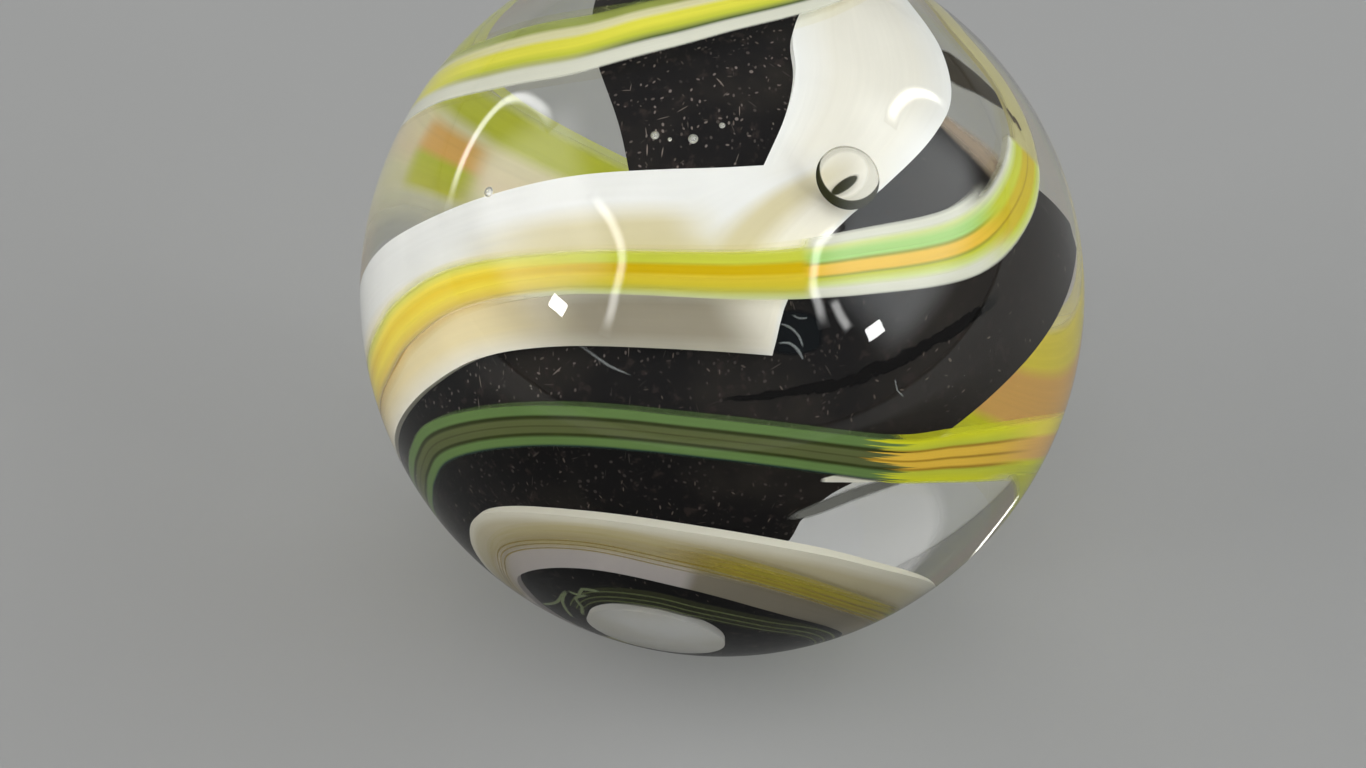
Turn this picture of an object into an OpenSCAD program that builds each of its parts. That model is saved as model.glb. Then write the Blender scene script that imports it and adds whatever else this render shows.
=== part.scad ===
// Handmade ribbon-swirl marble: clear glass round a white and a black ribbon, with two bands of
// coloured stripes laid over them and one trapped bubble. All of it is fused into one ball.
//
// A place in the ball is [longitude, latitude] in degrees about the twist axis. Longitude runs
// on past 360 as a ribbon goes round, so one list of places follows it from top to bottom.

/* [Ball] */
// Outside diameter of the marble
marble_d = 25; // [18:0.5:40]
// Clear glass over the stripes
casing = 1.5; // [1.3:0.1:2.5]

/* [Ribbons and stripes] */
// Thickness of the coloured stripes
stripe_t = 0.5; // [0.3:0.1:1]
// Thickness of the white ribbon under the stripes
white_t = 0.5; // [0.3:0.1:1]
// Thickness of the black ribbon under the white one
black_t = 0.5; // [0.3:0.1:1]
// Clear film between a stripe or ribbon and the one under it
film = 0.1; // [0.1:0.05:0.3]
// Clear line between two stripes of a band, in degrees round the ball
stripe_gap = 0.4; // [0.2:0.1:1]
// Share of a band's width that is left as drawn
band_fullness = 1; // [0.7:0.05:1]

/* [Twist axis] */
// Lean of the twist axis from upright
axis_lean = 52; // [0:1:90]
// Direction in which the top of the axis leans, from +X towards +Y
axis_heading = 78; // [0:1:359]

/* [Bubble] */
// Width of the trapped bubble along the ball's surface
bubble_d = 2.1; // [0.6:0.1:2.1]
// Thickness of the bubble from its floor to its top
bubble_t = 1.8; // [0.6:0.1:1.8]
// Longitude of the bubble
bubble_lon = -76; // [-90:1:-60]
// Latitude of the bubble
bubble_lat = 16; // [12:1:24]

/* [Pole patch] */
// Radius of the white patch at the lower pole, in degrees round the ball
patch_spread = 11.5; // [8:0.5:16]

/* [Smoothness] */
// Longest step along a ribbon's edge, in degrees round the ball
edge_step = 12; // [8:1:12]

/* [Hidden] */
$fn = 96;

marble_r = marble_d / 2;
stripe_top = marble_r - casing;
stripe_floor = stripe_top - stripe_t;
white_top = stripe_floor - film;
white_floor = white_top - white_t;
black_top = white_floor - film;
black_floor = black_top - black_t;

// The twist axis leans by turning about this level line.
axle_line = [-sin(axis_heading), cos(axis_heading), 0];

// The bubble floats in the clear glass, halfway between the white ribbon and the surface.
bubble_depth = (marble_r + white_top) / 2;
bubble_step = 10;
patch_lon = -134;
patch_lat = -87.5;

// Columns of the grid across the white ribbon, and across each half of the black one.
white_columns = 3;
black_columns = 3;

// White ribbon, from the upper pole down: upper edge, then lower edge. It turns sharply twice,
// once at each edge, so its course is in three runs.
WHITE_TOP_RUN = [
    [-60, 76, -5, 76], [-74, 68, -27, 70], [-83, 56, -39, 62], [-87, 46, -43, 49],
    [-86, 37, -48, 38], [-87, 28, -55, 30], [-90, 17, -65, 20]
];
WHITE_TURN_RUN = [
    [-90, 17, -65, 20], [-96, 15.6, -76, 8], [-101, 14.6, -82, -4], [-106, 13.7, -83, -15]
];
WHITE_LONG_RUN = [
    [-106, 13.7, -83, -15], [-123, 10.4, -103, -17], [-139, 6, -123, -19],
    [-156, 1, -140, -22], [-172, -3, -157, -27], [-189, -7.5, -173, -31],
    [-215, -14, -195, -35], [-260, -25, -245, -44], [-320, -38, -310, -54],
    [-380, -47, -375, -63.5], [-414, -49.6, -410, -66.4], [-449, -51, -449, -65.8],
    [-484, -51, -487, -63.7], [-519, -50.6, -524, -63.6], [-540, -54, -542, -64.2],
    [-560, -58, -560, -67], [-600, -64, -600, -72], [-650, -69, -650, -74]
];

// Black ribbon, from its slanting right end round to the lower pole: upper edge, a line along the
// middle, then lower edge. Its tongue reaches up to the left and ends there in a slanting cut.
BLACK_END_RUN = [
    [-6, 21, -5, 19, -3, 17], [-19, 24.7, -24, 8, -28, -7.6], [-39, 29.5, -42, 3, -45, -25.6],
    [-52, 35, -54, 3, -56, -34.5], [-62, 46, -63, 5, -61, -39.5], [-76, 55, -70, 8, -63.6, -45.5]
];
BLACK_TONGUE_RUN = [
    [-76, 55, -70, 8, -63.6, -45.5], [-98, 59, -73, 12, -63.3, -51],
    [-122, 59, -76, 13, -68.5, -53.5], [-148, 52, -80, 12, -73, -55]
];
BLACK_CUT_RUN = [
    [-148, 52, -80, 12, -73, -55], [-132.5, 37, -85, 7, -79, -55.5],
    [-119, 22, -90, -2, -86, -56], [-110, 4, -97, -16, -94, -56]
];
BLACK_LONG_RUN = [
    [-110, 4, -97, -16, -94, -56], [-130, -6, -127, -32, -126, -56.5],
    [-156, -15, -156, -36, -156, -56.5], [-172, -20, -174, -39, -175, -58],
    [-190, -25, -192, -42, -194, -61], [-240, -37, -240, -52, -240, -66],
    [-300, -47, -300, -60, -300, -75], [-360, -56, -360, -69, -360, -83],
    [-400, -60.5, -400, -72, -400, -84.5], [-449, -60, -449, -72, -449, -84.5],
    [-485, -58.5, -485, -72, -485, -85], [-520, -59, -520, -72, -520, -85],
    [-545, -62, -548, -73, -550, -84], [-600, -68, -600, -76, -600, -83]
];

// Middle of each band of stripes and the band's width in degrees.
AMBER_BAND = [
    [40, 77, 5], [-10, 69, 6], [-30, 56, 8], [-28, 42, 9], [-31, 31, 11], [-39, 21, 12],
    [-51, 11, 12], [-69, 4, 11], [-90, -2, 9], [-121, -6, 8], [-144, -10.5, 9],
    [-160, -16, 10], [-180, -23, 10], [-240, -35, 8], [-300, -46, 7], [-360, -54, 6],
    [-400, -57, 5.5], [-450, -56, 5.5], [-482, -54.5, 5], [-515, -56, 4.5], [-533, -60, 3.5],
    [-555, -65, 3]
];
GREEN_BAND = [
    [-40, 72, 6], [-68, 63, 10], [-88, 54, 13], [-103, 47, 14], [-123, 38, 16],
    [-147, 32, 16], [-165, 28, 14], [-184, 24, 13], [-220, 18, 11], [-258, 11, 11],
    [-290, 3, 11], [-325, -7, 11], [-360, -15, 12], [-380, -19, 11], [-400, -24, 9.5],
    [-417, -28, 8], [-450, -30.4, 7.5], [-481, -32, 7.5], [-514, -35.6, 7.5],
    [-530, -39.5, 7.5], [-545, -43, 7.5], [-600, -52, 6], [-660, -60, 5], [-731, -65, 4.5],
    [-766, -69, 4.5], [-799, -70, 4.5], [-822, -69, 4.5], [-850, -69.5, 4], [-875, -73, 3]
];

// Where each stripe lies across its band, from 0 at the upper edge to 1 at the lower one.
AMBER_WHITES = [[0, 0.15], [0.84, 1]];
AMBER_GREENS = [[0.15, 0.37], [0.63, 0.84]];
AMBER_MIDDLE = [0.37, 0.63];
GREEN_UPPER = [0, 0.27];
GREEN_MIDDLE = [0.27, 0.7];
GREEN_LOWER = [0.74, 1];

// Direction of a place as a unit vector.
function direction(lon, lat) = [cos(lat) * cos(lon), cos(lat) * sin(lon), sin(lat)];
function unit(v) = v / norm(v);

// One point of a smooth curve between the second and third of four places.
function between(a, b, c, d, t) =
    (2 * b + (c - a) * t + (2 * a - 5 * b + 4 * c - d) * t * t + (3 * b - a - 3 * c + d) * t * t * t) / 2;

// Steps that a stretch between two places takes to keep within edge_step.
function steps(p, q) =
    let (shrink = cos(min(abs(p[1]), abs(q[1]))))
    max(1, ceil(max(abs(q[0] - p[0]) * shrink, abs(q[1] - p[1])) / edge_step));

// A smooth run through places, its last one left out so that runs can follow each other.
function run(places) =
    let (last = len(places) - 1)
    [
        for (i = [0:last - 1])
            let (
                b = places[i],
                c = places[i + 1],
                a = i == 0 ? 2 * b - c : places[i - 1],
                d = i + 1 == last ? 2 * c - b : places[i + 2],
                n = steps(b, c)
            )
            for (k = [0:n - 1]) between(a, b, c, d, k / n)
    ];
function course(places) = concat(run(places), [places[len(places) - 1]]);

// Directions across a row of places, with equal steps between each two of them.
function across(row, count) =
    let (dirs = [for (k = [0:2:len(row) - 1]) direction(row[k], row[k + 1])])
    [
        for (k = [0:len(dirs) - 2], j = [0:count - 1])
            unit(dirs[k] * (count - j) + dirs[k + 1] * j),
        dirs[len(dirs) - 1]
    ];

// The two edges of one stripe that lies across part of a band.
function stripe_edges(band, span) =
    let (
        mids = course(band),
        last = len(mids) - 1,
        dirs = [for (m = mids) direction(m[0], m[1])]
    )
    [
        for (i = [0:last])
            let (
                ahead = dirs[min(i + 1, last)] - dirs[max(i - 1, 0)],
                upward = unit(cross(ahead, dirs[i])),
                width = mids[i][2] * band_fullness,
                upper = (0.5 - span[0]) * width - stripe_gap / 2,
                lower = (0.5 - span[1]) * width + stripe_gap / 2
            )
            [
                dirs[i] * cos(upper) + upward * sin(upper),
                dirs[i] * cos(lower) + upward * sin(lower)
            ]
    ];

// A curved sheet between two radii, over a grid of directions given row by row.
module sheet(rows, outer_r, inner_r) {
    wide = len(rows[0]);
    size = wide * len(rows);
    points = [
        for (row = rows) each row * inner_r,
        for (row = rows) each row * outer_r
    ];
    skins = [
        for (i = [0:len(rows) - 2], j = [0:wide - 2])
            let (a = i * wide + j, b = a + wide)
            each [
                [a, b, b + 1], [a, b + 1, a + 1],
                [a + size, b + 1 + size, b + size], [a + size, a + 1 + size, b + 1 + size]
            ]
    ];
    sides = [
        for (i = [0:len(rows) - 2])
            let (a = i * wide, b = a + wide, c = a + wide - 1, d = c + wide)
            each [[a, a + size, b + size, b], [c, d, d + size, c + size]]
    ];
    ends = [
        for (j = [0:wide - 2])
            let (a = j, c = size - wide + j)
            each [[a, a + 1, a + 1 + size, a + size], [c, c + size, c + 1 + size, c + 1]]
    ];
    rotate(a = axis_lean, v = axle_line) polyhedron(points, concat(skins, sides, ends));
}

module stripes(band, spans) {
    for (span = spans) sheet(stripe_edges(band, span), stripe_top, stripe_floor);
}

module white_ribbon() {
    places = concat(run(WHITE_TOP_RUN), run(WHITE_TURN_RUN), course(WHITE_LONG_RUN));
    color("ivory")
        sheet([for (row = places) across(row, white_columns)], white_top, white_floor);
}

module black_ribbon() {
    places = concat(
        run(BLACK_END_RUN), run(BLACK_TONGUE_RUN), run(BLACK_CUT_RUN), course(BLACK_LONG_RUN)
    );
    color([0.1, 0.1, 0.1])
        sheet([for (row = places) across(row, black_columns)], black_top, black_floor);
}

module pole_patch() {
    color("ivory") intersection() {
        difference() {
            sphere(r = white_top);
            sphere(r = white_floor);
        }
        rotate(a = axis_lean, v = axle_line) rotate([0, 90 - patch_lat, patch_lon])
            cylinder(h = marble_r, r1 = 0, r2 = marble_r * tan(patch_spread));
    }
}

module amber_band_middle() {
    color("goldenrod") stripes(AMBER_BAND, [AMBER_MIDDLE]);
}

module amber_band_green_pair() {
    color("yellowgreen") stripes(AMBER_BAND, AMBER_GREENS);
}

module amber_band_white_pair() {
    color("white") stripes(AMBER_BAND, AMBER_WHITES);
}

module green_band_upper() {
    color("olivedrab") stripes(GREEN_BAND, [GREEN_UPPER]);
}

module green_band_middle() {
    color("gold") stripes(GREEN_BAND, [GREEN_MIDDLE]);
}

module green_band_lower() {
    color("palegreen") stripes(GREEN_BAND, [GREEN_LOWER]);
}

module bubble() {
    rotate(a = axis_lean, v = axle_line)
        translate(direction(bubble_lon, bubble_lat) * bubble_depth)
            rotate([0, 90 - bubble_lat, bubble_lon])
                rotate_extrude()
                    polygon([
                        for (a = [-90:bubble_step:90]) [bubble_d * cos(a), bubble_t * sin(a)] / 2
                    ]);
}

module clear_glass() {
    color([0.85, 0.93, 0.9, 0.25]) difference() {
        sphere(r = marble_r);
        white_ribbon();
        black_ribbon();
        pole_patch();
        amber_band_middle();
        amber_band_green_pair();
        amber_band_white_pair();
        green_band_upper();
        green_band_middle();
        green_band_lower();
        bubble();
    }
}

clear_glass();
white_ribbon();
black_ribbon();
pole_patch();
amber_band_middle();
amber_band_green_pair();
amber_band_white_pair();
green_band_upper();
green_band_middle();
green_band_lower();
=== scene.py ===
"""The looks of a handmade ribbon-swirl marble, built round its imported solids."""

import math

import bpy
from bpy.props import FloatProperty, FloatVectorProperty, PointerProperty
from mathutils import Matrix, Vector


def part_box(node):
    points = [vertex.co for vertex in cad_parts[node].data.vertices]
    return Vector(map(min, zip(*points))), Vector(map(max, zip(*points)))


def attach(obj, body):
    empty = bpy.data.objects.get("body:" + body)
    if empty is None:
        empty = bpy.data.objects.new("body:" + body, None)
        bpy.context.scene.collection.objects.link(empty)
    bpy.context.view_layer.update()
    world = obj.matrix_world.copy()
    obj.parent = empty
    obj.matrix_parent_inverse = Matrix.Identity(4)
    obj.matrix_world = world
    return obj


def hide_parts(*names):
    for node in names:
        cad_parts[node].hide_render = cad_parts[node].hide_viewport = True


bl_info = {
    "name": "Ribbon-swirl marble",
    "version": (1, 0, 0),
    "blender": (4, 5, 0),
    "location": "View3D > Sidebar > Marble",
    "description": "Clear glass ball with ribbons, coloured stripes and bubbles inside",
    "category": "Object",
}

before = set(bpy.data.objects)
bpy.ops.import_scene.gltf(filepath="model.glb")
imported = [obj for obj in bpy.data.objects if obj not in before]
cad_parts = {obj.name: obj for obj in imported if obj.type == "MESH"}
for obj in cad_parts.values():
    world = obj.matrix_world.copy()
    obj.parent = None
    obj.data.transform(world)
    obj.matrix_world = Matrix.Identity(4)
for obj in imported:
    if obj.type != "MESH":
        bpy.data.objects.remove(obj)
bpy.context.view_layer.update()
MM = 0.001
BALL_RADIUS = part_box("clear_glass")[1].z
BODY = "root"

# Places in the ball are [longitude, latitude] in degrees about the twist axis. Longitude falls as
# a ribbon goes round, and runs on past -360. Steps along a course are at most this many degrees.
FINE_STEP = 1.5

# Steps across the white ribbon, and across each half of the black one.
WHITE_STEPS, BLACK_STEPS = 18, 16

# Radius at which the outside of each layer lies, and the layer's thickness, in millimetres.
STRIPE_TOP, STRIPE_WALL = 11.0, 0.5
WHITE_TOP, WHITE_WALL = 10.4, 0.5
BLACK_TOP, BLACK_WALL = 9.8, 0.5
LINE_TOP, LINE_WALL = 11.15, 0.05
WISP_TOP, WISP_WALL = 10.3, 0.05
SCRATCH_TOP, DARK_TOP, FILM_WALL = 9.88, 9.84, 0.02

# Refractive index of the glass, and what the clear parts of a stripe do to the light.
GLASS_INDEX = 1.5
STRIPE_TINT = (0.99, 0.985, 0.95)

# White ribbon, from the upper pole down: upper edge, then lower edge, in three runs.
WHITE_RUNS = [
    [
        [-60, 76, -5, 76], [-74, 68, -27, 70], [-83, 56, -39, 62], [-87, 46, -43, 49],
        [-86, 37, -48, 38], [-87, 28, -55, 30], [-90, 17, -65, 20],
    ],
    [
        [-90, 17, -65, 20], [-96, 15.6, -76, 8], [-101, 14.6, -82, -4],
        [-106, 13.7, -83, -15],
    ],
    [
        [-106, 13.7, -83, -15], [-123, 10.4, -103, -17], [-139, 6, -123, -19],
        [-156, 1, -140, -22], [-172, -3, -157, -27], [-189, -7.5, -173, -31],
        [-215, -14, -195, -35], [-260, -25, -245, -44], [-320, -38, -310, -54],
        [-380, -47, -375, -63.5], [-414, -49.6, -410, -66.4], [-449, -51, -449, -65.8],
        [-484, -51, -487, -63.7], [-519, -50.6, -524, -63.6], [-540, -54, -542, -64.2],
        [-560, -58, -560, -67], [-600, -64, -600, -72], [-650, -69, -650, -74],
    ],
]

# Black ribbon, from its slanting right end to the lower pole: upper edge, a line along the
# middle, then lower edge. The third run is the slanting cut at the end of its tongue.
BLACK_RUNS = [
    [
        [-6, 21, -5, 19, -3, 17], [-19, 24.7, -24, 8, -28, -7.6],
        [-39, 29.5, -42, 3, -45, -25.6], [-52, 35, -54, 3, -56, -34.5],
        [-62, 46, -63, 5, -61, -39.5], [-76, 55, -70, 8, -63.6, -45.5],
    ],
    [
        [-76, 55, -70, 8, -63.6, -45.5], [-98, 59, -73, 12, -63.3, -51],
        [-122, 59, -76, 13, -68.5, -53.5], [-148, 52, -80, 12, -73, -55],
    ],
    [
        [-148, 52, -80, 12, -73, -55], [-132.5, 37, -85, 7, -79, -55.5],
        [-119, 22, -90, -2, -86, -56], [-110, 4, -97, -16, -94, -56],
    ],
    [
        [-110, 4, -97, -16, -94, -56], [-130, -6, -127, -32, -126, -56.5],
        [-156, -15, -156, -36, -156, -56.5], [-172, -20, -174, -39, -175, -58],
        [-190, -25, -192, -42, -194, -61], [-240, -37, -240, -52, -240, -66],
        [-300, -47, -300, -60, -300, -75], [-360, -56, -360, -69, -360, -83],
        [-400, -60.5, -400, -72, -400, -84.5], [-449, -60, -449, -72, -449, -84.5],
        [-485, -58.5, -485, -72, -485, -85], [-520, -59, -520, -72, -520, -85],
        [-545, -62, -548, -73, -550, -84], [-600, -68, -600, -76, -600, -83],
    ],
]

# Middle of each band of stripes and the band's width in degrees.
AMBER_BAND = [
    [40, 77, 5], [-10, 69, 6], [-30, 56, 8], [-28, 42, 9], [-31, 31, 11], [-39, 21, 12],
    [-51, 11, 12], [-69, 4, 11], [-90, -2, 9], [-121, -6, 8], [-144, -10.5, 9],
    [-160, -16, 10], [-180, -23, 10], [-240, -35, 8], [-300, -46, 7], [-360, -54, 6],
    [-400, -57, 5.5], [-450, -56, 5.5], [-482, -54.5, 5], [-515, -56, 4.5], [-533, -60, 3.5],
    [-555, -65, 3],
]
GREEN_BAND = [
    [-40, 72, 6], [-68, 63, 10], [-88, 54, 13], [-103, 47, 14], [-123, 38, 16],
    [-147, 32, 16], [-165, 28, 14], [-184, 24, 13], [-220, 18, 11], [-258, 11, 11],
    [-290, 3, 11], [-325, -7, 11], [-360, -15, 12], [-380, -19, 11], [-400, -24, 9.5],
    [-417, -28, 8], [-450, -30.4, 7.5], [-481, -32, 7.5], [-514, -35.6, 7.5],
    [-530, -39.5, 7.5], [-545, -43, 7.5], [-600, -52, 6], [-660, -60, 5], [-731, -65, 4.5],
    [-766, -69, 4.5], [-799, -70, 4.5], [-822, -69, 4.5], [-850, -69.5, 4], [-875, -73, 3],
]

# Gap between two stripes of a band, in degrees.
STRIPE_GAP = 0.02

# The trapped bubble, wider than it is thick, and the small ones round it: longitude, latitude,
# depth, width and thickness in millimetres.
BIG_BUBBLE = (-76, 16, 11.45, 2.1, 1.8)
SMALL_BUBBLES = (
    (-108.8, 17.4, 11.6, 0.28, 0.28), (-106.1, 16.9, 11.7, 0.14, 0.14),
    (-102.4, 17.7, 11.6, 0.32, 0.28), (-98.1, 20.6, 11.7, 0.2, 0.2),
    (-136.4, 5.3, 11.6, 0.34, 0.26),
)

# Wisps in the clear glass: middle of the wisp as longitude and latitude, with its width in
# degrees, at each place along it.
SMOKE_WEDGE = [[-49, 49, 1], [-43, 46, 9], [-36, 43.6, 7], [-30, 41, 4.5], [-25, 38.5, 1]]
BROWN_WISP = [[-60, 38, 2], [-50, 32, 5], [-43, 28.5, 7], [-37, 25, 8]]
GREY_WISP = [[-69, -44.5, 1], [-64, -41.5, 3], [-57, -36.5, 3.5], [-50, -32.5, 2.5], [-43, -29, 1]]
PALE_WEDGE = [[-66, -35.4, 0.6], [-61, -33.8, 1.8], [-56, -32.6, 2.2], [-50, -31.4, 0.6]]
SCRATCHES = (
    [[-82.5, -9.6, 0.5], [-80.6, -9.8, 0.7], [-78.6, -11, 0.7], [-77.2, -13, 0.5]],
    [[-82, -13, 0.5], [-80, -12.6, 0.7], [-78, -13.6, 0.9], [-76.6, -15.2, 0.5]],
    [[-80.6, -7.6, 0.4], [-79.2, -8, 0.6], [-77.6, -7.6, 0.4]],
    [[-122, -17.6, 0.4], [-118, -19, 0.8], [-113, -21.6, 0.8], [-108, -23, 0.4]],
    [[-58, -14.6, 0.3], [-56.6, -16.6, 0.5], [-54.6, -17.4, 0.3]],
)
DARK_PATCH = [[-87, -10.5, 5], [-83, -11, 8], [-78, -10.4, 8.5], [-74, -9.6, 5]]
DARK_STREAK = [
    [-92, -25.5, 0.6], [-78, -21.4, 2], [-68, -17.6, 2.6], [-60, -12.4, 3], [-52, -7, 2.6],
    [-45, -1.4, 2.4], [-37, 5, 2],
]
TICKS = (
    [[-32.2, 37.4, 0.5], [-31.4, 36, 0.9], [-31, 34.6, 0.5]],
    [[-30.6, 36.2, 0.5], [-30, 35, 0.9], [-29.6, 33.4, 0.5]],
)
THREADS = (
    [[-184, -69.5, 0.9], [-170, -70.4, 0.9], [-158, -70, 0.9], [-143, -67.4, 0.9]],
    [[-176, -75, 0.9], [-165, -72.6, 0.9], [-157, -70.6, 0.9], [-143, -67.4, 0.9]],
    [[-158, -75, 0.9], [-146, -72.2, 0.9], [-143, -69.6, 0.9], [-132, -68.4, 0.9]],
    [[-143, -67.4, 0.9], [-138, -68.6, 0.9], [-133, -66.8, 0.9], [-124, -67.2, 0.9]],
)


def tone(red, green, blue):
    """A colour as it shows on a screen, turned into the shader's linear values."""
    return tuple(
        value / 12.92 if value <= 0.04045 else ((value + 0.055) / 1.055) ** 2.4
        for value in (red, green, blue)
    )


class MarbleSizes(bpy.types.PropertyGroup):
    axis_lean: FloatProperty(
        name="Axis lean", description="Lean of the twist axis from upright",
        default=math.radians(52), subtype="ANGLE",
    )
    axis_heading: FloatProperty(
        name="Axis heading",
        description="Direction in which the twist axis leans, from +X towards +Y",
        default=math.radians(78), subtype="ANGLE",
    )
    camera_distance: FloatProperty(
        name="Camera distance", description="From the ball's centre to the camera",
        default=BALL_RADIUS * 14.5, unit="LENGTH",
    )
    camera_elevation: FloatProperty(
        name="Camera elevation", description="Height of the view above level",
        default=math.radians(45), subtype="ANGLE",
    )
    floor_size: FloatProperty(
        name="Floor size", description="Width of the pale floor", default=4.0, unit="LENGTH",
    )


def colour_setting(name, description, colour):
    return FloatVectorProperty(
        name=name, description=description, subtype="COLOR", default=colour, min=0, max=1
    )


class MarbleColours(bpy.types.PropertyGroup):
    # Beige and brown are painted shade: they darken the white ribbon below its upper edge, where
    # it faces down, away from the lamps.
    white: colour_setting("White", "White ribbon where it is thick", tone(0.93, 0.93, 0.92))
    beige: colour_setting("Beige", "White ribbon where it is thin", tone(0.85, 0.81, 0.66))
    brown: colour_setting("Brown", "White ribbon where it is thinnest", tone(0.60, 0.57, 0.50))
    black: colour_setting("Black", "Black ribbon", tone(0.09, 0.085, 0.085))
    lime: colour_setting("Lime", "Lime stripes", tone(0.78, 0.80, 0.26))
    gold: colour_setting("Gold", "Middle stripe over white", tone(0.82, 0.69, 0.02))
    orange: colour_setting("Orange", "Middle stripe over black", tone(0.93, 0.76, 0.28))
    leaf: colour_setting("Leaf green", "Green stripes over black", tone(0.40, 0.51, 0.29))
    olive: colour_setting("Olive", "Wide stripe of the green band", tone(0.37, 0.40, 0.24))
    thread: colour_setting("Thread", "Pale outer stripes", tone(0.86, 0.86, 0.80))
    floor: colour_setting("Floor", "Pale floor", tone(0.66, 0.66, 0.655))


def chosen(*names):
    """The colours that the settings with these names hold."""
    colours = bpy.context.scene.marble_colours
    return [tuple(getattr(colours, name)) for name in names]


def twist_turn():
    """The turn that takes the twist axis from upright to its lean."""
    sizes = bpy.context.scene.marble_sizes
    level = Vector((-math.sin(sizes.axis_heading), math.cos(sizes.axis_heading), 0))
    return Matrix.Rotation(sizes.axis_lean, 3, level)


def direction(lon, lat):
    """A place as a unit vector about an upright twist axis."""
    a, b = math.radians(lon), math.radians(lat)
    return Vector((math.cos(b) * math.cos(a), math.cos(b) * math.sin(a), math.sin(b)))


def between(a, b, c, d, t):
    """A point of a smooth curve between the second and third of four rows of numbers."""
    return [
        (2 * q + (r - p) * t + (2 * p - 5 * q + 4 * r - s) * t ** 2
         + (3 * q - p - 3 * r + s) * t ** 3) / 2
        for p, q, r, s in zip(a, b, c, d)
    ]


def run(places):
    """A smooth run through places in fine steps, its last one left out."""
    rows = []
    for i in range(len(places) - 1):
        b, c = places[i], places[i + 1]
        a = places[i - 1] if i else [2 * q - r for q, r in zip(b, c)]
        d = places[i + 2] if i + 2 < len(places) else [2 * r - q for q, r in zip(b, c)]
        shrink = math.cos(math.radians(min(abs(b[1]), abs(c[1]))))
        count = max(1, math.ceil(max(abs(c[0] - b[0]) * shrink, abs(c[1] - b[1])) / FINE_STEP))
        rows += [between(a, b, c, d, k / count) for k in range(count)]
    return rows


def course(runs):
    """All the runs one after another, with the last place at the end."""
    return [row for places in runs for row in run(places)] + [runs[-1][-1]]


def share(runs, longitude):
    """How far along its course, from 0 to 1, a ribbon or band has come round to a longitude."""
    rows = course(runs)
    reached = [i for i, row in enumerate(rows) if row[0] <= longitude]
    return (reached[0] if reached else len(rows) - 1) / (len(rows) - 1)


def across(row, count):
    """Directions across a row of places, with equal steps between each two of them."""
    dirs = [direction(row[k], row[k + 1]) for k in range(0, len(row), 2)]
    steps = [
        (a * (count - j) + b * j).normalized()
        for a, b in zip(dirs, dirs[1:]) for j in range(count)
    ]
    return steps + [dirs[-1]]


def band_rows(band, span, count):
    """Directions across one stripe, which lies over part of a band's width, row by row."""
    mids = course([band])
    dirs = [direction(m[0], m[1]) for m in mids]
    rows = []
    for i, mid in enumerate(mids):
        ahead = dirs[min(i + 1, len(dirs) - 1)] - dirs[max(i - 1, 0)]
        upward = ahead.cross(dirs[i]).normalized()
        upper = (0.5 - span[0]) * mid[2] - STRIPE_GAP / 2
        lower = (0.5 - span[1]) * mid[2] + STRIPE_GAP / 2
        angles = [math.radians(upper + (lower - upper) * j / count) for j in range(count + 1)]
        rows.append([dirs[i] * math.cos(a) + upward * math.sin(a) for a in angles])
    return rows


def deselect_all():
    for piece in bpy.context.selected_objects:
        piece.select_set(False)


def curved_sheet(name, rows, top, wall, span=(0, 1)):
    """A grid bent over the inside of the ball row by row, with its wall set inwards.

    Its UV map runs over the span from the upper edge to the lower one, and from 0 to 1 along it.
    """
    deselect_all()
    wide = len(rows[0])
    bpy.ops.mesh.primitive_grid_add(
        x_subdivisions=wide - 1, y_subdivisions=len(rows) - 1, size=1, calc_uvs=True
    )
    piece = bpy.context.object
    piece.name = name
    piece.data.name = name
    turn = twist_turn()
    for number, vertex in enumerate(piece.data.vertices):
        row, column = divmod(number, wide)
        vertex.co = turn @ rows[row][column] * top * MM
    for corner in piece.data.uv_layers["UVMap"].data:
        corner.uv.x = span[0] + (span[1] - span[0]) * corner.uv.x
    piece.data.flip_normals()
    solidify = piece.modifiers.new("Wall", "SOLIDIFY")
    solidify.thickness = wall * MM
    solidify.offset = -1
    bpy.ops.object.modifier_apply(modifier=solidify.name)
    bpy.ops.object.shade_smooth_by_angle(angle=math.radians(40))
    return piece


def finish_piece(piece, material, slot, *nodes):
    """Gives a piece its material and body, and hides the nodes that it stands for; the slot is not
    used.
    """
    piece.data.materials.clear()
    piece.data.materials.append(material)
    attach(piece, BODY)
    if nodes:
        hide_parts(*nodes)


def new_material(name):
    material = bpy.data.materials.new(name)
    material.use_nodes = True
    return material, material.node_tree, material.node_tree.nodes["Principled BSDF"]


def node(tree, kind, **values):
    """A new node, with its properties set."""
    made = tree.nodes.new(kind)
    for key, value in values.items():
        setattr(made, key, value)
    return made


def feed(tree, value, socket):
    """Sets a socket to a number or colour, or links it to another node's output."""
    if isinstance(value, bpy.types.NodeSocket):
        tree.links.new(value, socket)
    else:
        socket.default_value = value


def maths(tree, operation, *values):
    made = node(tree, "ShaderNodeMath", operation=operation)
    for value, socket in zip(values, made.inputs):
        feed(tree, value, socket)
    return made.outputs[0]


def times(tree, product, *values):
    """Numbers and sockets multiplied together."""
    for value in values:
        product = maths(tree, "MULTIPLY", product, value)
    return product


def swing(tree, source, amount):
    """Noise as a shift to either side."""
    return times(tree, maths(tree, "SUBTRACT", source, 0.5), amount)


def vector_maths(tree, operation, *values):
    made = node(tree, "ShaderNodeVectorMath", operation=operation)
    for value, socket in zip(values, made.inputs):
        feed(tree, value, socket)
    return made.outputs["Value" if operation in ("LENGTH", "DOT_PRODUCT") else "Vector"]


def ramp(tree, stops, source):
    """Colour and opacity of a look where a socket says."""
    made = node(tree, "ShaderNodeValToRGB")
    elements = made.color_ramp.elements
    while len(elements) < len(stops):
        elements.new(1.0)
    for element, (place, colour) in zip(elements, stops):
        element.position = place
        element.color = colour
    tree.links.new(source, made.inputs["Fac"])
    return made.outputs["Color"], made.outputs["Alpha"]


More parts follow.
